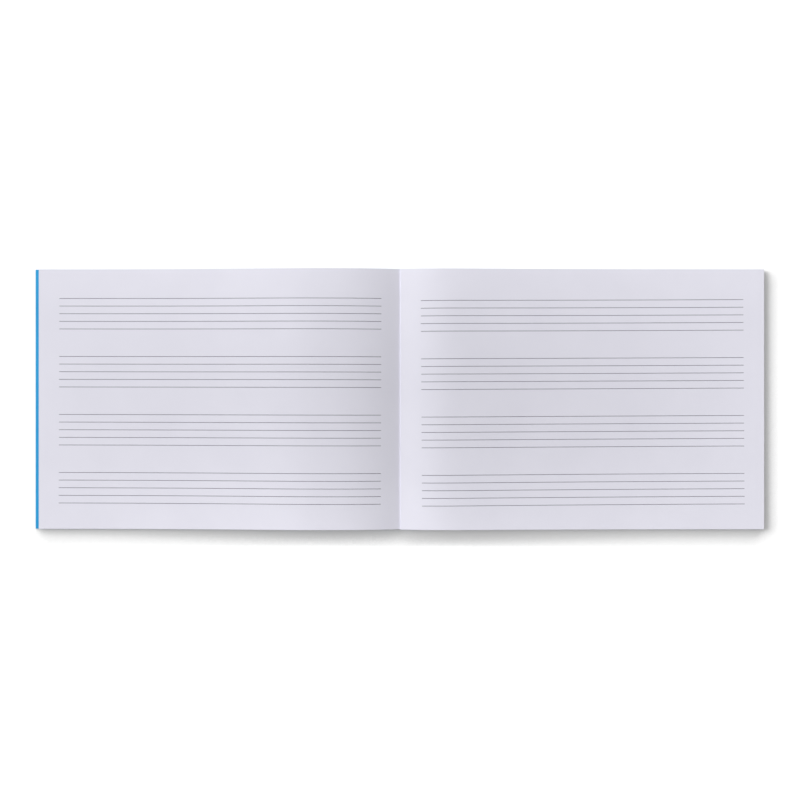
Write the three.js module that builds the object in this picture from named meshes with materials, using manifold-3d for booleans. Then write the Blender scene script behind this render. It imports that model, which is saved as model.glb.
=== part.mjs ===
// A stapled music notebook in landscape format, lying open on a table.
// Lengths are millimetres. +X runs across the spread to the right, +Y up the page and +Z up from the table.
// The origin is on the table under the fold, midway between head and foot.
//
// Eight folded sheets lie in a card cover, and two wire staples hold them through the fold.
// Each half of a sheet is a leaf. Leaves are numbered from the front cover to the back cover.
// Sheet 1 is leaves 1 and 16, sheet 2 is leaves 2 and 15, and so on to sheet 8, which is leaves 8 and 9.
// A leaf has a flat panel and a curved strip beside the fold, which is where the paper bends as it is turned.

import * as THREE from "three";
import { mergeVertices } from "three/addons/utils/BufferGeometryUtils.js";
import Module from "manifold-3d";

const wasm = await Module();
wasm.setup();

// The spread
const pageHeight = 148;
const spreadReach = 207.7; // from the fold to the outermost edge on either side
const frontOverhang = 2.1; // the front cover shows this far past the left page
const backSetback = 0.9; // the back cover stays this far inside the right page
const foreEdgePitch = 0.05; // from each leaf's fore edge to the next one's

// Paper and card
const leafCount = 16;
const leavesOnLeft = 6;
const leafThickness = 0.1;
const leafGap = 0.1; // air between leaves at the fore edge
const cardThickness = 0.3;

// The cover's fold stands up from the table as a low ridge
const ridgeHeight = 1.1; // under the card
const ridgeHalfWidth = 20;

// The left leaves bow up beside the fold
const leftBend = 48; // from the fold to the flat panel
const leftLift = 2.2; // of the lowest leaf, over its height at the fore edge
const leftLiftPitch = 0.4; // more for each leaf above it

// The right leaves do too, but less
const rightBend = 27;
const rightLift = 0.75;
const rightLiftPitch = 0.24;

// Sheets that lie on the right with both leaves turn round in a soft nose at the fold
const noseHeight = 1.5;

// Staples
const wireDiameter = 0.5;
const crownLength = 12;
const stapleFromMiddle = 37;
const clinchLength = 3;
const wireBend = 0.45; // inner corner radius of the wire
const wireClearance = 0.15; // round a leg in its holes
const seatGap = 0.05; // between the wire and the paper or card it holds

// Facets
const bendSteps = 12;
const noseSteps = 8;
const wireSides = 8;
const wireSteps = 120;
const holeSides = 16;

const leafPitch = leafThickness + leafGap;
const wireRadius = wireDiameter / 2;
const holeRadius = wireRadius + wireClearance;
const leavesOnRight = leafCount - leavesOnLeft;
const crossingSheets = Math.min(leavesOnLeft, leavesOnRight);

// Heights of a leaf's middle surface. Layer 0 is the leaf next to the cover on its side.
const foreEdgeLevel = (layer) => cardThickness + leafGap + leafThickness / 2 + layer * leafPitch;
const foldLevel = (layer) => ridgeHeight + foreEdgeLevel(layer);
const leftBendLevel = (layer) => foreEdgeLevel(layer) + leftLift + layer * leftLiftPitch;
const rightBendLevel = (layer) => foreEdgeLevel(layer) + rightLift + layer * rightLiftPitch;

// The nose of the outermost sheet that has both leaves on the right
const noseRadius = noseHeight / 2;
const noseLevel = foldLevel(crossingSheets) + noseRadius;
const noseTip = holeRadius + leafThickness / 2;
const noseCentre = noseTip + noseRadius;

const cover = new THREE.MeshStandardMaterial({ color: "#1c8fc6", roughness: 0.5, metalness: 0 });
const paper = new THREE.MeshStandardMaterial({ color: "#dfdee8", roughness: 0.9, metalness: 0 });
const steel = new THREE.MeshStandardMaterial({ color: "#b9bcc0", roughness: 0.35, metalness: 1 });

const notebook = new THREE.Group();

function place(name, geometry, material) {
  const mesh = new THREE.Mesh(geometry, material);
  mesh.name = name;
  notebook.add(mesh);
}

// A point of a sheet's section: where its middle surface is, and which way the sheet runs there.
const station = (x, z, slopeX, slopeZ) => ({
  at: new THREE.Vector2(x, z),
  along: new THREE.Vector2(slopeX, slopeZ).normalize(),
});

// A smooth bend between two stations that both have a slope, as a cubic in x.
function bend(from, to, steps) {
  const length = to.x - from.x;
  const stations = [];
  for (let i = 0; i <= steps; i++) {
    const u = i / steps;
    const rise = to.z - from.z;
    const s = u * u * (3 - 2 * u);
    const z = from.z + rise * s
      + length * from.slope * u * (1 - u) * (1 - u)
      - length * to.slope * u * u * (1 - u);
    const slope = (rise * 6 * u * (1 - u)) / length
      + from.slope * (1 - u) * (1 - 3 * u)
      - to.slope * u * (2 - 3 * u);
    stations.push(station(from.x + length * u, z, 1, slope));
  }
  return stations;
}

// A quarter turn from the tip of a nose to its top (upward 1) or its underside (upward -1).
function nose(radius, upward) {
  const slot = Math.asin(holeRadius / radius); // leaves the staple's leg its way in
  const stations = [];
  for (let i = 0; i < noseSteps; i++) {
    const turn = slot + (Math.PI / 2 - slot) * (i / noseSteps);
    const x = noseCentre - radius * Math.cos(turn);
    const z = noseLevel + upward * radius * Math.sin(turn);
    stations.push(station(x, z, Math.sin(turn), upward * Math.cos(turn)));
  }
  return stations;
}

// A solid sheet, from its section's stations, that spans the page from foot to head.
function sheetGeometry(stations, thickness, side) {
  const face = (way) => stations.map(({ at, along }) => new THREE.Vector2(
    side * (at.x - (way * along.y * thickness) / 2),
    at.y + (way * along.x * thickness) / 2,
  ));
  const shape = new THREE.Shape([...face(1), ...face(-1).reverse()]);
  const geometry = new THREE.ExtrudeGeometry(shape, { depth: pageHeight, bevelEnabled: false });
  geometry.rotateX(Math.PI / 2);
  geometry.translate(0, pageHeight / 2, 0);
  return geometry;
}

// The leaf's flat panel and its strip beside the fold. Side is 1 on the right and -1 on the left.
function leaf(number, side, foldStations, bendEnd, bendLevel, foreEdge, foreLevel) {
  const slope = (foreLevel - bendLevel) / (foreEdge - bendEnd);
  const last = foldStations.at(-1);
  const start = { x: last.at.x, z: last.at.y, slope: last.along.y / last.along.x };
  const end = { x: bendEnd, z: bendLevel, slope };
  const strip = [...foldStations.slice(0, -1), ...bend(start, end, bendSteps)];
  const panel = [station(bendEnd, bendLevel, 1, slope), station(foreEdge, foreLevel, 1, slope)];
  const name = `leaf_${String(number).padStart(2, "0")}`;
  place(name, sheetGeometry(panel, leafThickness, side), paper);
  place(`${name}_fold`, sheetGeometry(strip, leafThickness, side), paper);
}

// Leaves 1 to 6, from the front cover up to the left page.
function leftLeaves() {
  const top = leavesOnLeft - 1;
  for (let layer = 0; layer <= top; layer++) {
    const foreEdge = spreadReach - frontOverhang + foreEdgePitch * (top - layer);
    const fold = [station(holeRadius, foldLevel(layer), 1, 0)];
    leaf(layer + 1, -1, fold, leftBend, leftBendLevel(layer), foreEdge, foreEdgeLevel(layer));
  }
}

// Leaves 16 to 7, from the back cover up to the right page.
function rightLeaves() {
  const top = leavesOnRight - 1;
  for (let layer = 0; layer <= top; layer++) {
    const foreEdge = spreadReach - foreEdgePitch * (top - layer);
    const fold = foldOnRight(layer, top);
    leaf(leafCount - layer, 1, fold, rightBend, rightBendLevel(layer), foreEdge, foreEdgeLevel(layer));
  }
}

// Where a right leaf leaves the fold: level if its sheet goes on to the left, or round a nose if it doesn't.
function foldOnRight(layer, top) {
  if (layer < crossingSheets) {
    return [station(holeRadius, foldLevel(layer), 1, 0)];
  }
  const upper = layer - crossingSheets >= (leavesOnRight - crossingSheets) / 2;
  const nested = upper ? top - layer : layer - crossingSheets;
  const radius = noseRadius - nested * leafPitch;
  const upward = upper ? 1 : -1;
  return [...nose(radius, upward), station(noseCentre, noseLevel + upward * radius, 1, 0)];
}

// The cover is one card in three lengths: two flat boards and the ridge between them.
function coverBoard(name, side, reach) {
  const level = cardThickness / 2;
  const board = [station(ridgeHalfWidth, level, 1, 0), station(reach, level, 1, 0)];
  place(name, sheetGeometry(board, cardThickness, side), cover);
}

function spine() {
  const foot = { x: -ridgeHalfWidth, z: cardThickness / 2, slope: 0 };
  const crest = { x: 0, z: ridgeHeight + cardThickness / 2, slope: 0 };
  const farFoot = { ...foot, x: ridgeHalfWidth };
  const section = [...bend(foot, crest, bendSteps).slice(0, -1), ...bend(crest, farFoot, bendSteps)];
  let card = solidOf(sheetGeometry(section, cardThickness, 1));
  for (const y of legPlaces()) {
    const hole = new THREE.CylinderGeometry(holeRadius, holeRadius, 2 * ridgeHeight, holeSides);
    hole.rotateX(Math.PI / 2);
    hole.translate(0, y, ridgeHeight);
    card = card.subtract(solidOf(hole));
  }
  place("spine", geometryOf(card), cover);
}

const staplePlaces = () => [stapleFromMiddle, -stapleFromMiddle];
const legPlaces = () => staplePlaces().flatMap((y) => [y - crownLength / 2, y + crownLength / 2]);

// A staple's crown lies under the ridge. Its legs rise through the fold, go in at the tips of the
// noses and are clinched towards each other in the middle of the innermost sheet.
function staple(name, middle) {
  const crownLevel = ridgeHeight - seatGap - wireRadius;
  const innermost = noseTip + ((leavesOnRight - crossingSheets) / 2 - 1) * leafPitch;
  const clinchX = innermost + leafThickness / 2 + seatGap + wireRadius;
  const half = crownLength / 2;
  const corner = (x, y, z) => new THREE.Vector3(x, middle + y, z);
  const route = [
    corner(clinchX, clinchLength - half, noseLevel),
    corner(clinchX, -half, noseLevel),
    corner(0, -half, noseLevel),
    corner(0, -half, crownLevel),
    corner(0, half, crownLevel),
    corner(0, half, noseLevel),
    corner(clinchX, half, noseLevel),
    corner(clinchX, half - clinchLength, noseLevel),
  ];
  const section = new THREE.Shape();
  section.absarc(0, 0, wireRadius, 0, 2 * Math.PI);
  const geometry = new THREE.ExtrudeGeometry(section, {
    extrudePath: roundedRoute(route, wireBend),
    steps: wireSteps,
    curveSegments: wireSides,
  });
  place(name, geometry, steel);
}

// Straight runs between the corners, with each inner corner rounded.
function roundedRoute(corners, radius) {
  const path = new THREE.CurvePath();
  let from = corners[0];
  for (let i = 1; i < corners.length - 1; i++) {
    const corner = corners[i];
    const before = corners[i - 1].clone().sub(corner);
    const after = corners[i + 1].clone().sub(corner);
    const cut = Math.min(radius, before.length() / 2, after.length() / 2);
    const enter = corner.clone().add(before.setLength(cut));
    const leave = corner.clone().add(after.setLength(cut));
    if (enter.distanceTo(from) > 1e-6) {
      path.add(new THREE.LineCurve3(from, enter));
    }
    path.add(new THREE.QuadraticBezierCurve3(enter, corner, leave));
    from = leave;
  }
  path.add(new THREE.LineCurve3(from, corners.at(-1)));
  return path;
}

function solidOf(geometry) {
  const bare = geometry.clone();
  bare.deleteAttribute("normal");
  bare.deleteAttribute("uv");
  const merged = mergeVertices(bare);
  const mesh = new wasm.Mesh({
    numProp: 3,
    vertProperties: new Float32Array(merged.attributes.position.array),
    triVerts: new Uint32Array(merged.index.array),
  });
  return new wasm.Manifold(mesh);
}

function geometryOf(solid) {
  const { vertProperties, triVerts } = solid.getMesh();
  const geometry = new THREE.BufferGeometry();
  geometry.setAttribute("position", new THREE.BufferAttribute(vertProperties, 3));
  geometry.setIndex(new THREE.BufferAttribute(triVerts, 1));
  geometry.computeVertexNormals();
  return geometry;
}

coverBoard("back_cover", 1, spreadReach - backSetback);
coverBoard("front_cover", -1, spreadReach);
spine();
rightLeaves();
leftLeaves();
staplePlaces().forEach((middle, i) => staple(["staple_upper", "staple_lower"][i], middle));

export default notebook;
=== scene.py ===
# The looks of a stapled music notebook that lies open on a table.
# Lengths are metres, in the frame's axes: +X runs across the spread, +Y up the page
# and +Z up from the table.
# Each leaf is one sheet of ruled paper, the cover is one folded card, and two wire staples hold them.

import math

import bpy
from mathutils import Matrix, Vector
from mathutils.geometry import interpolate_bezier


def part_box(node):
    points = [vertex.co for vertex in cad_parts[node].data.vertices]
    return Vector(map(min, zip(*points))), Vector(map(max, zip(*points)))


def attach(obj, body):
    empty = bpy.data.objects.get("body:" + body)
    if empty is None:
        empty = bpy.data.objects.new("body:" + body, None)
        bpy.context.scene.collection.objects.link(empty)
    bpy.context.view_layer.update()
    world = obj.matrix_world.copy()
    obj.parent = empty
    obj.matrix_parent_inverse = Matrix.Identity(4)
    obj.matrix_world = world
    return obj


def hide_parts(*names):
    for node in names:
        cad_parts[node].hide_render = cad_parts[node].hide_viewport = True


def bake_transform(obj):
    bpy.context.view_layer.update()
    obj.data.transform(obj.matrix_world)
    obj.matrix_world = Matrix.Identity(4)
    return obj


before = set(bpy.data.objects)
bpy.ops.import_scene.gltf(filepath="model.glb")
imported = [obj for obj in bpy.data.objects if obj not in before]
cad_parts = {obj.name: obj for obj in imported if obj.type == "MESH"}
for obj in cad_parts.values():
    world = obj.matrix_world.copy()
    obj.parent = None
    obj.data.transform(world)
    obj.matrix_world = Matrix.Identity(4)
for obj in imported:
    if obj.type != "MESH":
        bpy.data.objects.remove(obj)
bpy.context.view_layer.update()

MM = 0.001

# Paper and card
LEAVES = 16
LEAVES_ON_LEFT = 6
LEAVES_ON_RIGHT = LEAVES - LEAVES_ON_LEFT
NOSES = (LEAVES_ON_RIGHT - LEAVES_ON_LEFT) // 2  # sheets that lie on the right with both halves
PAPER_THICKNESS = 0.1 * MM
CARD_THICKNESS = 0.3 * MM
PAGE_TRIM = 0.03 * MM  # the paper is cut this much short of the card at head and foot
TRIM_DRIFT = 0.05 * MM  # how far a sheet may lie up or down the page from true
TRIM_STEP = 2.4  # radians of a wave from one sheet to the next, so that no two lie alike
FORE_DRIFT = 0.16 * MM  # how much a leaf may stop short at the fore edge
FORE_STEP = 3.4  # radians of its wave
LEFT_SHORT = 0.2 * MM  # the left leaves stop this much shorter still, and show more of the card

# Slight waves in the paper
COCKLE = 0.07 * MM  # up or down
COCKLE_SPAN = 70 * MM
COCKLE_FROM = 10 * MM  # out from the fold, where they begin
COCKLE_FULL = 40 * MM  # and where they have their full height

# Ruling, as it is printed on each page
STAVES = 4
LINES = 5
LINE_GAP = 4.345 * MM
LINE_WEIGHT = 0.34 * MM
LEFT_RULING = {
    "from": 10.175 * MM,
    "to": 193.76 * MM,
    "middle": -1.26 * MM,
    "pitch": 33.06 * MM,
    "skew": 0.0020,
    "lean": -0.0034,
}
RIGHT_RULING = {
    "from": 12.67 * MM,
    "to": 196.2 * MM,
    "middle": -2.43 * MM,
    "pitch": 32.96 * MM,
    "skew": 0.0049,
    "lean": -0.0065,
}

# How the paper curves between its fold, its crest and its fore edge: reaches of the curve's handles
LEFT_VALLEY = 14 * MM
LEFT_SHOULDER = 24 * MM
LEFT_FALL = 25 * MM
LEFT_RUN_OUT = 100 * MM
RIGHT_VALLEY = 8 * MM
RIGHT_SHOULDER = 11 * MM
RIGHT_FALL = 17 * MM
RIGHT_RUN_OUT = 128 * MM
VALLEY_SHARE = 0.68  # of the rise to the crest, at the valley's handle
FOLD_DIP = 0.07 * MM  # the sheets are lowest a little to the right of the fold
FOLD_DIP_OUT = 1.2 * MM
NOSE_TIP = 0.95 * MM  # the outermost nose begins this far to the right of the fold
NOSE_NESTING = 0.11 * MM  # from each nose to the one inside it
NOSE_BELLY = 0.5 * MM  # the sheet turns sharply at the top of its nose, and softly below
NOSE_SLOPE = 0.085  # at which the upper half leaves the tip of its nose
CARD_REACH = 0.42  # of the way from the fold to the foot of the card's curve
CURVE_STEPS = 24
ROUND = 0.5523  # handle length of a quarter turn, as a share of its radius

# Faces of a leaf. Columns lie beside the fold, under the ruling and past it,
# and rows on each line, between the lines and at head and foot
FOLD_COLUMNS = 40
RULED_COLUMNS = 46
EDGE_COLUMNS = 3
RULED_END = FOLD_COLUMNS + RULED_COLUMNS
COLUMNS = RULED_END + EDGE_COLUMNS
ROWS = 2 * STAVES * LINES + 1
SHARP_SHEET = math.radians(40)  # the cut edges of a sheet are sharper than this
SHARP_WIRE = math.radians(50)  # and so are the ends of the wire

# Staples
WIRE_CORNER = 0.45 * MM
CLINCH_LENGTH = 3 * MM
LEG_TURN = 0.55  # of the way up, where the leg stands straight again
WIRE_SIDES = 20
CORNER_STEPS = 8

# Colours, linear
PAPER_LIGHT = (0.702, 0.694, 0.768, 1)
PAPER_SHADE = (0.675, 0.667, 0.741, 1)
INK_FULL = (0.135, 0.133, 0.160, 1)
INK_THIN = (0.210, 0.206, 0.240, 1)
CARD_BLUE = (0.004, 0.262, 0.545, 1)
CARD_PALE = (0.010, 0.302, 0.595, 1)
CARD_WORN = (0.130, 0.480, 0.740, 1)
STEEL = (0.56, 0.57, 0.59, 1)

# Surfaces
NOISE_LOW = 0.3  # most of a noise lies between these two
NOISE_HIGH = 0.7
PULP_SHARE = 0.7  # of the paper's change of tone
FLECK_SHARE = 0.3
FLECKS_LOW = 0.25
FLECKS_HIGH = 0.75
PAPER_ROUGHNESS = 0.88
PAPER_SHINE = 0.25
PATCH_SHARE = 0.5  # of the ink's change of tone
GRAIN_SHARE = 0.5
INK_ROUGHNESS = 0.7
INK_SHINE = 0.3
CARD_SMOOTHEST = 0.40
CARD_ROUGHEST = 0.50
CARD_RUBBED = 0.2  # added to the roughness where the card is worn through
CARD_SHINE = 0.25
FOLD_WEAR = 0.7
FOLD_WEAR_FROM = 0.2 * MM
FOLD_WEAR_TO = 1.3 * MM
EDGE_WEAR = 0.12
EDGE_WEAR_TO = 0.3 * MM
RUBS_LOW = 0.4  # where the wear comes in patches
RUBS_HIGH = 0.65
RUBS_FULL = 0.8
STEEL_SMOOTHEST = 0.22
STEEL_ROUGHEST = 0.34
STEEL_MARKED = 0.08  # added to the roughness by the marks of drawing

# Light. Together the shares make a white level surface white
SKY_LIGHT = 0.27
WINDOW_SHARE = 0.49
WINDOW_HEIGHT = math.radians(19.5)  # over the table
WINDOW_BEARING = math.radians(163)  # from +X towards +Y
WINDOW_SPREAD = math.radians(34)
TENT_GLOW = 1.05
TENT_DISTANCE = 50 * MM
TENT_HEIGHT = 70 * MM
TENT_DEPTH = 60 * MM
TENT_LENGTH = 1.1  # of the notebook's side that a wall stands along

# Floor
FLOOR_SIZE = 40
FLOOR_GAP = 0.05 * MM  # under the card
FLOOR_WHITE = 0.95
FLOOR_LIFT = 0.09  # what the floor adds for the camera alone
FLOOR_LIFT_BEYOND = 0.4  # and past the tent, whose light ends there
BEYOND_FROM = 28 * MM  # out from the notebook
BEYOND_TO = 62 * MM
CONTACT_LEAN = (-0.3, 0.95, 0.12)  # painted shadow: the floor's colour is darker where something stands close by on this side
CONTACT_REACH = 11.5 * MM
CONTACT_FULL = 0.25  # of the view on that side is hidden where the shade is full
CONTACT_PAINTED_SHADOW = 0.46  # how much of its white the floor then loses, as painted shadow

# The photograph's frame: 800 pixels square
PHOTO_PIXELS = 800
PHOTO_LEFT_EDGE = 35.7  # of the cover
PHOTO_RIGHT_EDGE = 764.0  # of the right page
PHOTO_FOOT_EDGE = 529.2  # of both pages at their fore edges
CAMERA_HEIGHT = 420 * MM
NEAREST = 10 * MM
FURTHEST = 100
SENSOR = 36  # the sensor's width, in the camera's own millimetres

SHEET_MAP = "sheet"  # every sheet's own map: metres from the fold, and metres up the page
INK_MARK = "inked"  # one on the faces that carry a printed line


# Small helpers for node trees


def fill(tree, node, inputs):
    """Links or sets a node's inputs, by name or place."""
    for key, value in inputs.items():
        if isinstance(value, bpy.types.NodeSocket):
            tree.links.new(value, node.inputs[key])
        else:
            node.inputs[key].default_value = value


def put(tree, kind, inputs=None, **settings):
    """Adds a node, with its settings and its inputs."""
    node = tree.nodes.new(kind)
    for name, value in settings.items():
        setattr(node, name, value)
    fill(tree, node, inputs or {})
    return node


def calc(tree, operation, *terms):
    """A sum on one to three numbers or sockets."""
    return put(tree, "ShaderNodeMath", dict(enumerate(terms)), operation=operation).outputs[0]


def ramp(tree, value, low, high, to_low, to_high):
    """Value mapped from one range to another, held at its ends."""
    places = {0: value, 1: low, 2: high, 3: to_low, 4: to_high}
    return put(tree, "ShaderNodeMapRange", places).outputs[0]


def join(tree, x=0, y=0, z=0):
    """A vector of three numbers or sockets."""
    return put(tree, "ShaderNodeCombineXYZ", {0: x, 1: y, 2: z}).outputs[0]


def split(tree, vector):
    """The three numbers of a vector."""
    return put(tree, "ShaderNodeSeparateXYZ", {0: vector}).outputs


def mesh_place(tree):
    """Where each point of the mesh is, or each face's middle."""
    return split(tree, put(tree, "GeometryNodeInputPosition").outputs[0])


def geometry_tree(name, inputs):
    """A Geometry Nodes tree with its geometry in and out, and the named inputs after it."""
    tree = bpy.data.node_groups.new(name, "GeometryNodeTree")
    tree.interface.new_socket("Geometry", in_out="INPUT", socket_type="NodeSocketGeometry")
    tree.interface.new_socket("Geometry", in_out="OUTPUT", socket_type="NodeSocketGeometry")
    for label, kind in inputs.items():
        tree.interface.new_socket(label, in_out="INPUT", socket_type=f"NodeSocket{kind}")
    return tree, tree.nodes.new("NodeGroupInput").outputs


def store(tree, geometry, name, value, data_type, domain):
    """The geometry, with the value kept on it under that name."""
    inputs = {"Geometry": geometry, "Name": name, "Value": value}
    kind = "GeometryNodeStoreNamedAttribute"
    return put(tree, kind, inputs, data_type=data_type, domain=domain).outputs[0]


def with_own_map(tree, geometry, own_map):
    """The sheet, with its own map for the materials."""
    return store(tree, geometry, SHEET_MAP, own_map, "FLOAT2", "CORNER")


def close_tree(tree, geometry, material):
    """Real geometry, in its material."""
    real = put(tree, "GeometryNodeRealizeInstances", {0: geometry}).outputs[0]
    finished = put(tree, "GeometryNodeSetMaterial", {"Geometry": real, "Material": material})
    return finished.outputs[0]


def deliver(tree, geometry):
    """Ends the tree."""
    put(tree, "NodeGroupOutput", {0: geometry})


def with_tree(piece, tree, values):
    """Puts the tree on the piece and sets its inputs by their identifiers."""
    modifier = piece.modifiers.new(tree.name, "NODES")
    modifier.node_group = tree
    for item in tree.interface.items_tree:
        if item.in_out == "INPUT" and item.name in values:
            modifier[item.identifier] = values[item.name]


def thicken(piece, thickness):
    """Gives a surface its thickness, half to either side."""
    solid = piece.modifiers.new("thickness", "SOLIDIFY")
    solid.thickness = thickness
    solid.offset = 0


def to_plain_mesh(piece, sharp_angle):
    """Replaces the piece's data by what its modifiers make, smooth but for its sharp edges."""
    depsgraph = bpy.context.evaluated_depsgraph_get()
    made = bpy.data.meshes.new_from_object(
        piece.evaluated_get(depsgraph), preserve_all_data_layers=True, depsgraph=depsgraph
    )
    piece.modifiers.clear()
    piece.data = made
    made.shade_smooth()
    made.set_sharp_from_angle(angle=sharp_angle)


def line_object(name, points):
    """A mesh of edges only, from point to point."""
    mesh = bpy.data.meshes.new(name)
    mesh.from_pydata(points, [(i, i + 1) for i in range(len(points) - 1)], [])
    piece = bpy.data.objects.new(name, mesh)
    bpy.context.scene.collection.objects.link(piece)
    return piece


# Materials


def new_material(name):
    """A material, its node tree and its shader."""
    material = bpy.data.materials.new(name)
    material.use_nodes = True
    tree = material.node_tree
    return material, tree, tree.nodes["Principled BSDF"]


def sheet_place(tree):
    """Where a point is on its own sheet."""
    return put(tree, "ShaderNodeUVMap", uv_map=SHEET_MAP).outputs[0]


def noise(tree, place, span, detail=2.0, stretch=(1, 1, 1), distortion=0.0):
    """Noise with features of about that span, in metres."""
    mapped = put(tree, "ShaderNodeMapping", {"Vector": place, "Scale": stretch}).outputs[0]
    inputs = {"Vector": mapped, "Scale": 1 / span, "Detail": detail, "Distortion": distortion}
    return put(tree, "ShaderNodeTexNoise", inputs).outputs["Fac"]


def spread(tree, value, to_low, to_high):
    """Noise brought from its usual range to another."""
    return ramp(tree, value, NOISE_LOW, NOISE_HIGH, to_low, to_high)


def mix(tree, share, first, second):
    """A colour between two others."""
    colours = {0: share, 6: first, 7: second}
    return put(tree, "ShaderNodeMix", colours, data_type="RGBA").outputs[2]


def bump(tree, height, strength, depth):
    """Fine relief, for the shader's normal."""
    inputs = {"Height": height, "Strength": strength, "Distance": depth}
    return put(tree, "ShaderNodeBump", inputs).outputs[0]


def writing_paper():
    """Uncoated white paper: cloudy where its pulp lies thicker, with fine fibres in it."""
    material, tree, shader = new_material("writing_paper")
    place = sheet_place(tree)
    clouds = noise(tree, place, span=28 * MM, detail=3)
    flecks = noise(tree, place, span=0.45 * MM, stretch=(0.6, 1, 1), distortion=1.5)
    fibres = noise(tree, place, span=0.16 * MM, detail=3, stretch=(0.35, 1, 1), distortion=2)
    cloudy = spread(tree, clouds, 0, PULP_SHARE)
    flecked = ramp(tree, flecks, FLECKS_LOW, FLECKS_HIGH, 0, FLECK_SHARE)
    tone = calc(tree, "ADD", cloudy, flecked)
    fill(tree, shader, {
        "Base Color": mix(tree, tone, PAPER_SHADE, PAPER_LIGHT),
        "Roughness": PAPER_ROUGHNESS,
        "Specular IOR Level": PAPER_SHINE,
        "Normal": bump(tree, calc(tree, "ADD", fibres, flecks), strength=0.16, depth=0.012 * MM),
    })
    return material


def printing_ink():
    """Grey ink that the paper has taken up a little unevenly."""
    material, tree, shader = new_material("printing_ink")
    place = sheet_place(tree)
    patches = noise(tree, place, span=9 * MM)
    grain = noise(tree, place, span=0.2 * MM)
    patched = spread(tree, patches, 0, PATCH_SHARE)
    thinness = calc(tree, "ADD", patched, spread(tree, grain, 0, GRAIN_SHARE))
    fill(tree, shader, {
        "Base Color": mix(tree, thinness, INK_FULL, INK_THIN),
        "Roughness": INK_ROUGHNESS,
        "Specular IOR Level": INK_SHINE,
        "Normal": bump(tree, grain, strength=0.12, depth=0.01 * MM),
    })
    return material


def card_wear(tree, place, half_width, half_height):
    """How far the card is rubbed along its fold and its cut edges, in patches."""
    across, up, _ = split(tree, place)
    from_fold = calc(tree, "ABSOLUTE", across)
    from_side = calc(tree, "SUBTRACT", half_width, from_fold)
    from_end = calc(tree, "SUBTRACT", half_height, calc(tree, "ABSOLUTE", up))
    from_edge = calc(tree, "MINIMUM", from_side, from_end)
    fold_wear = ramp(tree, from_fold, FOLD_WEAR_FROM, FOLD_WEAR_TO, FOLD_WEAR, 0)
    edge_wear = ramp(tree, from_edge, 0, EDGE_WEAR_TO, EDGE_WEAR, 0)
    rubs = noise(tree, place, span=3 * MM, detail=4, distortion=0.6)
    wear = calc(tree, "MAXIMUM", fold_wear, edge_wear)
    return calc(tree, "MULTIPLY", wear, ramp(tree, rubs, RUBS_LOW, RUBS_HIGH, 0, RUBS_FULL))


def cover_card(half_width, half_height):
    """Dyed card with a satin face, rubbed paler along its fold and its cut edges."""
    material, tree, shader = new_material("cover_card")
    place = sheet_place(tree)
    clouds = noise(tree, place, span=40 * MM, detail=3)
    grain = noise(tree, place, span=0.3 * MM, detail=3)
    worn = card_wear(tree, place, half_width, half_height)
    dyed = mix(tree, spread(tree, clouds, 0, 1), CARD_BLUE, CARD_PALE)
    satin = spread(tree, grain, CARD_SMOOTHEST, CARD_ROUGHEST)
    fill(tree, shader, {
        "Base Color": mix(tree, worn, dyed, CARD_WORN),
        "Roughness": calc(tree, "ADD", satin, calc(tree, "MULTIPLY", worn, CARD_RUBBED)),
        "Specular IOR Level": CARD_SHINE,
        "Normal": bump(tree, grain, strength=0.12, depth=0.015 * MM),
    })
    return material


def staple_wire():
    """Drawn steel wire, with fine marks along it."""
    material, tree, shader = new_material("staple_wire")
    place = put(tree, "ShaderNodeTexCoord").outputs["Object"]
    marks = noise(tree, place, span=0.12 * MM, detail=3, stretch=(1, 0.08, 1))
    smudges = noise(tree, place, span=1.5 * MM)
    smudged = spread(tree, smudges, STEEL_SMOOTHEST, STEEL_ROUGHEST)
    fill(tree, shader, {
        "Base Color": STEEL,
        "Metallic": 1,
        "Roughness": calc(tree, "ADD", smudged, spread(tree, marks, 0, STEEL_MARKED)),
        "Normal": bump(tree, marks, strength=0.2, depth=0.01 * MM),
    })
    return material


# The curve of each sheet, read off the frame


def knot(at, before=(0, 0), after=(0, 0)):
    """A knot in the section's own plane: distance out from the fold, and height. Handles are offsets."""
    place = Vector((at[0], 0, at[1]))
    return {
        "at": place,
        "before": place + Vector((before[0], 0, before[1])),
        "after": place + Vector((after[0], 0, after[1])),
    }


def curve(knots):
    """Points along the curve through the knots."""
    points = [knots[0]["at"]]
    for start, end in zip(knots, knots[1:]):
        span = interpolate_bezier(start["at"], start["after"], end["before"], end["at"], CURVE_STEPS)
        points += span[1:]
    return points


def leaf_name(number):
    """The body of a leaf, counted from the front."""
    return f"leaf_{number:02d}"


def out_and_up(node):
    """A node's extent: nearest and furthest out from the fold, lowest and highest."""
    low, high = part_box(node)
    return min(abs(low.x), abs(high.x)), max(abs(low.x), abs(high.x)), low.z, high.z


def panel_ends(number):
    """The crest and the fore edge of a leaf's middle surface."""
    crest_out, edge_out, edge_low, crest_high = out_and_up(leaf_name(number))
    half = PAPER_THICKNESS / 2
    short = FORE_DRIFT / 2 * (1 + math.cos(FORE_STEP * (number - LEAVES_ON_LEFT)))
    if number <= LEAVES_ON_LEFT:
        short += LEFT_SHORT
    return (crest_out, crest_high - half), (edge_out - short, edge_low + half)


def fold_level(number):
    """The height at the fold of a leaf whose sheet crosses it. Its lowest point is there on the left."""
    left_number = min(number, LEAVES + 1 - number)
    return out_and_up(leaf_name(left_number) + "_fold")[2] + PAPER_THICKNESS / 2


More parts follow.
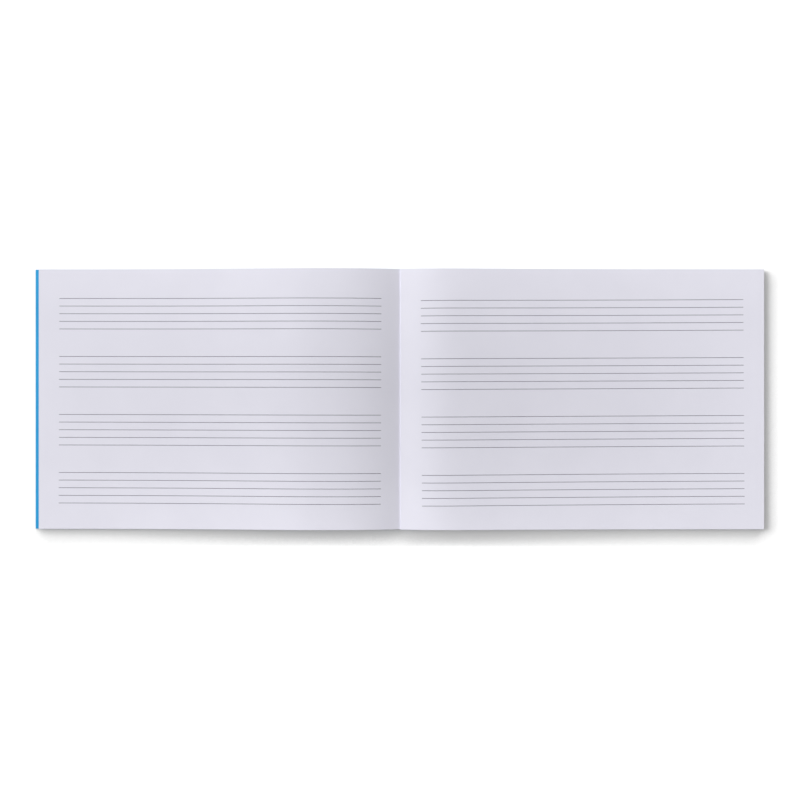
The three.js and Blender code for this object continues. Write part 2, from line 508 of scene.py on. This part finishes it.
def crossing_leaf_curve(number):
    """A leaf whose sheet goes on at the other side of the fold."""
    crest, edge = panel_ends(number)
    left = number <= LEAVES_ON_LEFT
    level = fold_level(number)
    valley = LEFT_VALLEY if left else RIGHT_VALLEY
    shoulder = LEFT_SHOULDER if left else RIGHT_SHOULDER
    fall = LEFT_FALL if left else RIGHT_FALL
    run_out = LEFT_RUN_OUT if left else RIGHT_RUN_OUT
    rise = VALLEY_SHARE * (crest[1] - level)
    if left:
        fold = [knot((0, level), after=(valley, rise))]
    else:
        fold = [
            knot((0, level), after=(FOLD_DIP_OUT / 2, -FOLD_DIP)),
            knot((FOLD_DIP_OUT, level - FOLD_DIP), before=(-FOLD_DIP_OUT / 2, 0), after=(valley, rise)),
        ]
    return curve([
        *fold,
        knot(crest, before=(-shoulder, 0), after=(fall, 0)),
        knot(edge, before=(-run_out, 0)),
    ])


def wire_radius():
    """The staples stand astride the fold, with half of their wire on either side."""
    return -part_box("staple_upper")[0].x


def clinch_level():
    """The wire's points lie on the sheets that they have gone through."""
    pierced = fold_level(LEAVES_ON_LEFT) + NOSES * NOSE_NESTING
    return pierced + PAPER_THICKNESS / 2 + wire_radius()


def nose_leaf_curve(number, wire_level):
    """A leaf whose sheet is folded back on itself: half a nose at the fold, and then the page."""
    crest, edge = panel_ends(number)
    upper = number <= LEAVES / 2
    nested = number - LEAVES_ON_LEFT - 1 if upper else LEAVES - LEAVES_ON_LEFT - number
    innermost = wire_level + wire_radius() + PAPER_THICKNESS / 2
    page_level = innermost + (NOSES - 1 - nested) * NOSE_NESTING
    tip = NOSE_TIP + nested * NOSE_NESTING
    if upper:
        nose = [knot((tip, page_level), after=(RIGHT_VALLEY, RIGHT_VALLEY * NOSE_SLOPE))]
    else:
        half = PAPER_THICKNESS / 2
        level = fold_level(LEAVES_ON_LEFT) + (1 + nested) * NOSE_NESTING
        drop = level - page_level + half
        nose = [
            knot((tip + half, page_level - half), after=(0, ROUND * drop)),
            knot((tip + NOSE_BELLY, level), before=(-ROUND * NOSE_BELLY, 0), after=(RIGHT_VALLEY, 0)),
        ]
    return curve([
        *nose,
        knot(crest, before=(-RIGHT_SHOULDER, 0), after=(RIGHT_FALL, 0)),
        knot(edge, before=(-RIGHT_RUN_OUT, 0)),
    ])


def length_out_to(points, out):
    """How long the curve is up to the point that lies so far out from the fold."""
    length = 0
    for start, end in zip(points, points[1:]):
        step = (end - start).length
        if end.x >= out:
            return length + step * (out - start.x) / (end.x - start.x)
        length += step
    return length


# The ruled leaf's tree, step by step


def grid_cell(tree):
    """The column and the row of each point of the flat grid. A face's middle is half a step further on."""
    across, up, _ = mesh_place(tree)
    return calc(tree, "ADD", across, COLUMNS / 2), calc(tree, "ADD", up, ROWS / 2)


def column_reach(tree, column, length, given):
    """How far along the curve each column lies: closer and closer towards the fold, and then even."""
    eased = calc(tree, "POWER", ramp(tree, column, 0, FOLD_COLUMNS, 0, 1), 2)
    near = calc(tree, "MULTIPLY", eased, given["Ruling from"])
    ruled_length = calc(tree, "SUBTRACT", given["Ruling to"], given["Ruling from"])
    under = ramp(tree, column, FOLD_COLUMNS, RULED_END, 0, ruled_length)
    last_length = calc(tree, "SUBTRACT", length, given["Ruling to"])
    past = ramp(tree, column, RULED_END, COLUMNS, 0, last_length)
    return calc(tree, "ADD", calc(tree, "ADD", near, under), past)


def printed_line(tree, row, given):
    """The middle of the line that each row belongs to, and how far from it the row lies."""
    edge_number = calc(tree, "SUBTRACT", row, 1)
    line_number = calc(tree, "FLOOR", calc(tree, "DIVIDE", edge_number, 2))
    upper_edge = calc(tree, "FLOORED_MODULO", edge_number, 2)
    staff = calc(tree, "FLOOR", calc(tree, "DIVIDE", line_number, LINES))
    in_staff = calc(tree, "FLOORED_MODULO", line_number, LINES)
    staff_base = calc(tree, "MULTIPLY_ADD", staff, given["Staff pitch"], given["Lowest line"])
    line_place = calc(tree, "MULTIPLY_ADD", in_staff, given["Line gap"], staff_base)
    from_middle = calc(tree, "SUBTRACT", upper_edge, 0.5)
    return line_place, calc(tree, "MULTIPLY", from_middle, given["Line weight"])


def with_page_ends(tree, row, ruled_row, given):
    """How far up the page each row lies, with the first row at the foot and the last at the head."""
    page_end = calc(tree, "MULTIPLY", given["Page height"], 0.5)
    foot = calc(tree, "SUBTRACT", given["Page shift"], page_end)
    head = calc(tree, "ADD", given["Page shift"], page_end)
    is_foot = calc(tree, "LESS_THAN", row, 0.5)
    is_head = calc(tree, "GREATER_THAN", row, ROWS - 0.5)
    with_foot = put(tree, "ShaderNodeMix", {0: is_foot, 2: ruled_row, 3: foot}).outputs[0]
    return put(tree, "ShaderNodeMix", {0: is_head, 2: with_foot, 3: head}).outputs[0]


def inked_faces(tree):
    """One on the faces between a line's two rows, as far as the ruling goes."""
    column, row = grid_cell(tree)
    between = calc(tree, "FLOORED_MODULO", calc(tree, "FLOOR", row), 2)
    on_line = calc(tree, "GREATER_THAN", between, 0.5)
    after_start = calc(tree, "GREATER_THAN", column, FOLD_COLUMNS)
    before_end = calc(tree, "LESS_THAN", column, RULED_END)
    return calc(tree, "MULTIPLY", on_line, calc(tree, "MULTIPLY", after_start, before_end))


def waved(tree, height, own_map, along, given):
    """The height of the curve, with the paper's slight waves on it."""
    waves = put(tree, "ShaderNodeTexNoise", {
        "Vector": own_map,
        "Scale": calc(tree, "DIVIDE", 1, given["Cockle span"]),
        "Detail": 1.0,
    }).outputs["Fac"]
    half_wave = calc(tree, "MULTIPLY", calc(tree, "SUBTRACT", waves, 0.5), given["Cockle"])
    settled = ramp(tree, along, COCKLE_FROM, COCKLE_FULL, 0, 2)
    return calc(tree, "MULTIPLY_ADD", half_wave, settled, height)


def ruled_leaf_tree():
    """Lays a page along a curve that is given as a line of edges, ruled with staves."""
    tree, given = geometry_tree("ruled_leaf", {
        "Side": "Float",
        "Page height": "Float",
        "Page shift": "Float",
        "Ruling from": "Float",
        "Ruling to": "Float",
        "Lowest line": "Float",
        "Ruling skew": "Float",
        "Ruling lean": "Float",
        "Line gap": "Float",
        "Staff pitch": "Float",
        "Line weight": "Float",
        "Cockle": "Float",
        "Cockle span": "Float",
        "Paper": "Material",
        "Ink": "Material",
    })
    grid = put(tree, "GeometryNodeMeshGrid", {
        "Size X": float(COLUMNS),
        "Size Y": float(ROWS),
        "Vertices X": COLUMNS + 1,
        "Vertices Y": ROWS + 1,
    }).outputs[0]
    column, row = (calc(tree, "ROUND", number) for number in grid_cell(tree))
    section = put(tree, "GeometryNodeMeshToCurve", {0: given["Geometry"]}).outputs[0]
    length = put(tree, "GeometryNodeCurveLength", {0: section}).outputs[0]

    # The ends of the staves lean, and their lines rise away from the fold
    straight = column_reach(tree, column, length, given)
    line_place, half_weight = printed_line(tree, row, given)
    leaning = calc(tree, "MULTIPLY", line_place, given["Ruling lean"])
    from_fold = ramp(tree, column, 0, FOLD_COLUMNS, 0, 1)
    from_edge = ramp(tree, column, RULED_END, COLUMNS, 1, 0)
    lean_share = calc(tree, "MULTIPLY", from_fold, from_edge)
    along = calc(tree, "MULTIPLY_ADD", leaning, lean_share, straight)
    skewed = calc(tree, "MULTIPLY", along, given["Ruling skew"])
    ruled_row = calc(tree, "ADD", calc(tree, "ADD", line_place, half_weight), skewed)
    up = with_page_ends(tree, row, ruled_row, given)

    own_map = join(tree, along, up)
    marked = store(tree, grid, INK_MARK, inked_faces(tree), "FLOAT", "FACE")
    mapped = with_own_map(tree, marked, own_map)

    # The page takes its place on the curve
    sample = put(tree, "GeometryNodeSampleCurve", {
        "Curves": section,
        "Length": along,
    }, mode="LENGTH", use_all_curves=True)
    out, _, height = split(tree, sample.outputs["Position"])
    lifted = waved(tree, height, own_map, along, given)
    place = join(tree, calc(tree, "MULTIPLY", out, given["Side"]), up, lifted)
    laid = put(tree, "GeometryNodeSetPosition", {"Geometry": mapped, "Position": place}).outputs[0]

    paper = close_tree(tree, laid, given["Paper"])
    ink_mark = put(tree, "GeometryNodeInputNamedAttribute", {"Name": INK_MARK}, data_type="FLOAT")
    inked_page = put(tree, "GeometryNodeSetMaterial", {
        "Geometry": paper,
        "Selection": calc(tree, "GREATER_THAN", ink_mark.outputs[0], 0.5),
        "Material": given["Ink"],
    }).outputs[0]
    deliver(tree, inked_page)
    return tree


# The other trees


def card_tree():
    """Draws a line of edges out to a sheet of card."""
    tree, given = geometry_tree("folded_card", {
        "Page height": "Float",
        "Card": "Material",
    })
    sheet = put(tree, "GeometryNodeExtrudeMesh", {
        "Mesh": given["Geometry"],
        "Offset": join(tree, y=given["Page height"]),
    }, mode="EDGES").outputs[0]
    down = join(tree, y=calc(tree, "MULTIPLY", given["Page height"], -0.5))
    centred = put(tree, "GeometryNodeSetPosition", {"Geometry": sheet, "Offset": down}).outputs[0]
    across, up, _ = mesh_place(tree)
    mapped = with_own_map(tree, centred, join(tree, across, up))
    deliver(tree, close_tree(tree, mapped, given["Card"]))
    return tree


def wire_tree():
    """Bends wire along a line of edges."""
    tree, given = geometry_tree("staple_wire", {
        "Wire radius": "Float",
        "Corner radius": "Float",
        "Steel": "Material",
    })
    route = put(tree, "GeometryNodeMeshToCurve", {0: given["Geometry"]}).outputs[0]
    rounded = put(tree, "GeometryNodeFilletCurve", {
        "Curve": route,
        "Radius": given["Corner radius"],
        "Count": CORNER_STEPS,
        "Limit Radius": True,
    }, mode="POLY").outputs[0]
    section = put(tree, "GeometryNodeCurvePrimitiveCircle", {
        "Resolution": WIRE_SIDES,
        "Radius": given["Wire radius"],
    }).outputs[0]
    wire = put(tree, "GeometryNodeCurveToMesh", {
        "Curve": rounded,
        "Profile Curve": section,
        "Fill Caps": True,
    }).outputs[0]
    deliver(tree, close_tree(tree, wire, given["Steel"]))
    return tree


# The pieces


def ruling_values(ruling, points):
    """The tree's inputs for a page's ruling. Its ends are measured along the curve."""
    staff_height = (LINES - 1) * LINE_GAP
    half_block = ((STAVES - 1) * ruling["pitch"] + staff_height) / 2
    return {
        "Ruling from": length_out_to(points, ruling["from"]),
        "Ruling to": length_out_to(points, ruling["to"]),
        "Lowest line": ruling["middle"] - half_block,
        "Ruling skew": ruling["skew"],
        "Ruling lean": ruling["lean"],
        "Line gap": LINE_GAP,
        "Staff pitch": ruling["pitch"],
        "Line weight": LINE_WEIGHT,
    }


def make_leaf(number, tree, paper, ink, wire_level):
    """One leaf: a curved and ruled sheet from the fold to its fore edge."""
    side = -1 if number <= LEAVES_ON_LEFT else 1
    crosses = number <= LEAVES_ON_LEFT or number > LEAVES - LEAVES_ON_LEFT
    points = crossing_leaf_curve(number) if crosses else nose_leaf_curve(number, wire_level)
    low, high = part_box(leaf_name(number))
    piece = line_object(f"ruled_leaf_{number:02d}", points)
    with_tree(piece, tree, {
        "Side": float(side),
        "Page height": high.y - low.y - 2 * PAGE_TRIM - 2 * TRIM_DRIFT,
        "Page shift": TRIM_DRIFT * math.sin(TRIM_STEP * number),
        **ruling_values(LEFT_RULING if side < 0 else RIGHT_RULING, points),
        "Cockle": COCKLE,
        "Cockle span": COCKLE_SPAN,
        "Paper": paper,
        "Ink": ink,
    })
    thicken(piece, PAPER_THICKNESS)
    to_plain_mesh(piece, SHARP_SHEET)
    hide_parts(leaf_name(number), leaf_name(number) + "_fold")
    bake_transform(piece)


def make_cover(card):
    """One card from the back cover's edge over the fold to the front cover's."""
    back_low, back_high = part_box("back_cover")
    front_low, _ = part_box("front_cover")
    _, spine_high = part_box("spine")
    flat = back_low.z + CARD_THICKNESS / 2
    crest = spine_high.z - CARD_THICKNESS / 2
    foot = back_low.x
    half = curve([
        knot((0, crest), after=(CARD_REACH * foot, 0)),
        knot((foot, flat), before=(-CARD_REACH * foot, 0)),
    ])
    left = [Vector((-point.x, 0, point.z)) for point in reversed(half)]
    points = [Vector((front_low.x, 0, flat)), *left, *half[1:], Vector((back_high.x, 0, flat))]
    piece = line_object("card_cover", points)
    with_tree(piece, card_tree(), {"Page height": back_high.y - back_low.y, "Card": card})
    thicken(piece, CARD_THICKNESS)
    to_plain_mesh(piece, SHARP_SHEET)
    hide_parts("back_cover", "front_cover", "spine")
    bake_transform(piece)


def make_staple(node, tree, steel):
    """Crown under the spine, legs that lean through the fold, and points clinched in the innermost sheet."""
    low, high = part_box(node)
    radius = wire_radius()
    middle = (low.y + high.y) / 2
    half = (high.y - low.y) / 2 - radius
    crown, clinch = low.z + radius, clinch_level()
    innermost_tip = NOSE_TIP + (NOSES - 1) * NOSE_NESTING
    inside = innermost_tip + PAPER_THICKNESS + radius
    turned = crown + LEG_TURN * (clinch - crown)
    route = [
        (inside, CLINCH_LENGTH - half, clinch),
        (inside, -half, clinch),
        (inside, -half, turned),
        (0, -half, crown),
        (0, half, crown),
        (inside, half, turned),
        (inside, half, clinch),
        (inside, half - CLINCH_LENGTH, clinch),
    ]
    piece = line_object(f"wire_{node}", [Vector((x, middle + y, z)) for x, y, z in route])
    with_tree(piece, tree, {"Wire radius": radius, "Corner radius": WIRE_CORNER, "Steel": steel})
    to_plain_mesh(piece, SHARP_WIRE)
    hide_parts(node)
    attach(piece, "spine")


# Floor, light and camera


def seen_directly(tree):
    """One for the camera, mirrors and glass, and nothing for the light that falls on the notebook."""
    path = put(tree, "ShaderNodeLightPath").outputs
    mirrored = calc(tree, "MAXIMUM", path["Is Glossy Ray"], path["Is Transmission Ray"])
    return calc(tree, "MAXIMUM", path["Is Camera Ray"], mirrored)


def floor_white_with_painted_shadow(tree):
    """White, with a painted shadow: its colour is darker where the notebook stands close by."""
    # The occlusion darkens the floor's own colour. This is painted shadow, on top of the lamps' cast shadows
    openness = put(tree, "ShaderNodeAmbientOcclusion", {
        "Distance": CONTACT_REACH,
        "Normal": join(tree, *CONTACT_LEAN),
    }).outputs["AO"]
    shade = ramp(tree, openness, 1 - CONTACT_FULL, 1, 1 - CONTACT_PAINTED_SHADOW, 1)
    white = calc(tree, "MULTIPLY", shade, FLOOR_WHITE)
    return put(tree, "ShaderNodeCombineColor", {0: white, 1: white, 2: white}).outputs[0]


def floor_lift(tree):
    """What the floor adds for the camera, more of it past the tent's light."""
    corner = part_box("front_cover")[0]
    across, up, _ = split(tree, put(tree, "ShaderNodeTexCoord").outputs["Object"])
    past_side = calc(tree, "SUBTRACT", calc(tree, "ABSOLUTE", across), abs(corner.x))
    past_end = calc(tree, "SUBTRACT", calc(tree, "ABSOLUTE", up), abs(corner.y))
    beyond = calc(tree, "MAXIMUM", past_side, past_end)
    amount = ramp(tree, beyond, BEYOND_FROM, BEYOND_TO, FLOOR_LIFT, FLOOR_LIFT_BEYOND)
    return calc(tree, "MULTIPLY", seen_directly(tree), amount)


def white_floor():
    """The table top."""
    bpy.ops.mesh.primitive_plane_add(size=FLOOR_SIZE, location=(0, 0, -FLOOR_GAP))
    floor = bpy.context.object
    floor.name = "floor"
    material, tree, _ = new_material("floor_white")
    tree.nodes.clear()
    matt = put(tree, "ShaderNodeBsdfDiffuse", {"Color": floor_white_with_painted_shadow(tree)}).outputs[0]
    lift = put(tree, "ShaderNodeEmission", {"Strength": floor_lift(tree)}).outputs[0]
    both = put(tree, "ShaderNodeAddShader", {0: matt, 1: lift}).outputs[0]
    put(tree, "ShaderNodeOutputMaterial", {0: both})
    floor.data.materials.append(material)


def room_light():
    """A plain sky, dimmer for the notebook than for the camera."""
    world = bpy.data.worlds.new("room")
    world.use_nodes = True
    bpy.context.scene.world = world
    tree = world.node_tree
    tree.nodes.clear()
    strength = ramp(tree, seen_directly(tree), 0, 1, SKY_LIGHT, 1)
    sky = put(tree, "ShaderNodeBackground", {"Color": (1, 1, 1, 1), "Strength": strength}).outputs[0]
    put(tree, "ShaderNodeOutputWorld", {0: sky})


def aim(lamp_object, towards):
    """Turns a lamp so that it shines against that direction."""
    lamp_object.rotation_euler = towards.to_track_quat("Z", "Y").to_euler()
    bpy.context.scene.collection.objects.link(lamp_object)


def window_light():
    """Broad light that comes low from the left and a little from the head."""
    lamp = bpy.data.lights.new("window", "SUN")
    lamp.energy = math.pi * WINDOW_SHARE / math.sin(WINDOW_HEIGHT)
    lamp.angle = WINDOW_SPREAD
    flat = math.cos(WINDOW_HEIGHT)
    towards = (flat * math.cos(WINDOW_BEARING), flat * math.sin(WINDOW_BEARING), math.sin(WINDOW_HEIGHT))
    aim(bpy.data.objects.new("window", lamp), Vector(towards))


def tent_light():
    """Four lit walls that stand round the notebook and face it."""
    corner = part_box("front_cover")[0]
    half_width, half_height = abs(corner.x), abs(corner.y)
    for name, across, up in (("head", 0, 1), ("foot", 0, -1), ("left", -1, 0), ("right", 1, 0)):
        lamp = bpy.data.lights.new(f"tent_{name}", "AREA")
        lamp.shape = "RECTANGLE"
        lamp.size = 2 * (half_width if up else half_height) * TENT_LENGTH
        lamp.size_y = TENT_DEPTH
        lamp.energy = TENT_GLOW * math.pi * lamp.size * lamp.size_y
        wall = bpy.data.objects.new(f"tent_{name}", lamp)
        place = Vector((
            across * (half_width + TENT_DISTANCE),
            up * (half_height + TENT_DISTANCE),
            TENT_HEIGHT,
        ))
        wall.location = place
        wall.visible_camera = False
        aim(wall, place)


def photo_camera():
    """Straight down. The cover's left edge and the right page's edge fall where the photograph has them."""
    cover_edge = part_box("front_cover")
    page_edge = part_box(leaf_name(LEAVES_ON_LEFT + 1))
    centre = PHOTO_PIXELS / 2
    left_drop = CAMERA_HEIGHT - cover_edge[1].z
    right_drop = CAMERA_HEIGHT - page_edge[0].z
    width = page_edge[1].x - cover_edge[0].x
    left_pixels = centre - PHOTO_LEFT_EDGE
    right_pixels = PHOTO_RIGHT_EDGE - centre
    focal_pixels = (left_pixels * left_drop + right_pixels * right_drop) / width
    across = page_edge[1].x - right_pixels * right_drop / focal_pixels
    foot_pixels = PHOTO_FOOT_EDGE - centre
    up = page_edge[0].y + foot_pixels * right_drop / focal_pixels
    data = bpy.data.cameras.new("camera")
    data.sensor_width = SENSOR
    data.lens = focal_pixels * SENSOR / PHOTO_PIXELS
    data.clip_start = NEAREST
    data.clip_end = FURTHEST
    camera = bpy.data.objects.new("camera", data)
    camera.location = (across, up, CAMERA_HEIGHT)
    bpy.context.scene.collection.objects.link(camera)
    bpy.context.scene.camera = camera


photo_camera()
white_floor()
room_light()
window_light()
tent_light()
bpy.context.scene.view_settings.view_transform = "Standard"

paper, ink = writing_paper(), printing_ink()
wire_level = clinch_level()
leaf_tree = ruled_leaf_tree()
for leaf_number in range(1, LEAVES + 1):
    make_leaf(leaf_number, leaf_tree, paper, ink, wire_level)
front_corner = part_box("front_cover")[0]
make_cover(cover_card(-front_corner.x, -front_corner.y))
steel, bent_wire = staple_wire(), wire_tree()
for staple in ("staple_upper", "staple_lower"):
    make_staple(staple, bent_wire, steel)
